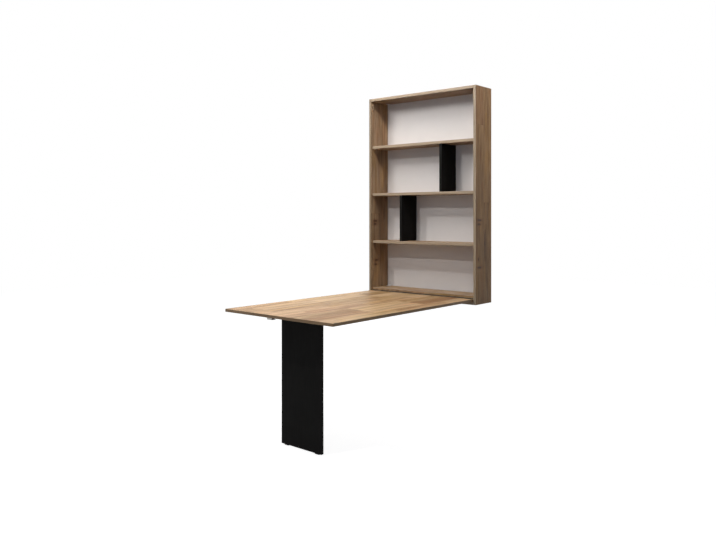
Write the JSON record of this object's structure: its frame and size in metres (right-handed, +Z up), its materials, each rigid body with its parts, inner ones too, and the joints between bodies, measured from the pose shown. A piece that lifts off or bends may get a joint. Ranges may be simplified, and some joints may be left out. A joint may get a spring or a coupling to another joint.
{
  "type": "wall mounted drop leaf table",
  "caption": "Wall shelf cabinet with an oak-look drop leaf table hinged inside its front, standing on one folding black board leg.",
  "frame": {"origin": "on the wall plane, in the middle of the rectangle of the cabinet's wall screws", "axes": "+Y into the wall, -Y out into the room along the open leaf, +Z up, X across the cabinet"},
  "size_m": [0.86, 1.4779, 2.0826],
  "materials": {
    "oak_board": "oak-look decor board, satin",
    "oak_edge": "oak-look edge band, satin",
    "black_board": "black decor board, matt",
    "black_edge": "black edge band, matt",
    "back_board": "pale lacquered fibreboard, matt",
    "beech": "raw beech",
    "zinc_steel": "zinc plated",
    "cast_zinc": "cast zinc",
    "hinge_steel": "bronzed steel strip",
    "bracket_paint": "pale powder coat",
    "cover_plastic": "moulded, oak coloured",
    "catch_plastic": "moulded brown plastic",
    "handle_nickel": "satin nickel",
    "glide_plastic": "moulded black plastic"
  },
  "bodies": {
    "cabinet": {"back_nails": "zinc_steel", "back_panel": "back_board", "base_shelf": "oak_board", "bottom_panel": "oak_board", "bracket_screws": "zinc_steel", "cabinet_edge_bands": "oak_edge", "cam_bolts": "zinc_steel", "cam_covers": "cover_plastic", "cam_locks": "cast_zinc", "catch_housings": "catch_plastic", "catch_magnets": "hinge_steel", "catch_screws": "hinge_steel", "divider_dowels": "beech", "divider_edge_bands": "black_edge", "dowels": "beech", "hinge_rail": "oak_board", "leaf_hinge_pin": "hinge_steel", "leaf_hinge_rail_plate": "hinge_steel", "leaf_hinge_rail_screws": "hinge_steel", "left_side_panel": "oak_board", "lower_divider": "black_board", "lower_shelf": "oak_board", "middle_shelf": "oak_board", "right_side_panel": "oak_board", "top_panel": "oak_board", "upper_divider": "black_board", "upper_shelf": "oak_board", "wall_bracket_lower_left": "bracket_paint", "wall_bracket_lower_right": "bracket_paint", "wall_bracket_upper_left": "bracket_paint", "wall_bracket_upper_right": "bracket_paint"},
    "leaf": {"table_leaf": "oak_board", "leaf_edge_band": "oak_edge", "leaf_rear_band": "oak_edge", "leaf_hinge_leaf_plate": "hinge_steel", "leaf_hinge_leaf_screws": "hinge_steel", "pull_handle": "handle_nickel", "handle_block": "glide_plastic", "handle_screws": "zinc_steel", "catch_strikes": "hinge_steel", "leg_hinge_leaf_plate": "hinge_steel", "leg_hinge_pin": "hinge_steel", "leg_hinge_leaf_screws": "hinge_steel"},
    "leg": {"leg_panel": "black_board", "leg_edge_bands": "black_edge", "leg_hinge_leg_plate": "hinge_steel", "leg_hinge_leg_screws": "hinge_steel", "leg_glides": "glide_plastic", "glide_screws": "zinc_steel"}
  },
  "joints": [
    {"name": "leaf_fold", "type": "hinge", "parent": "cabinet", "child": "leaf", "pos_m": [0, -0.17695, -0.66445], "axis": [1, 0, 0], "range_deg": [-90, 0]},
    {"name": "leg_fold", "type": "hinge", "parent": "leaf", "child": "leg", "pos_m": [0, -1.26685, -0.68655], "axis": [1, 0, 0], "range_deg": [0, 90]}
  ]
}
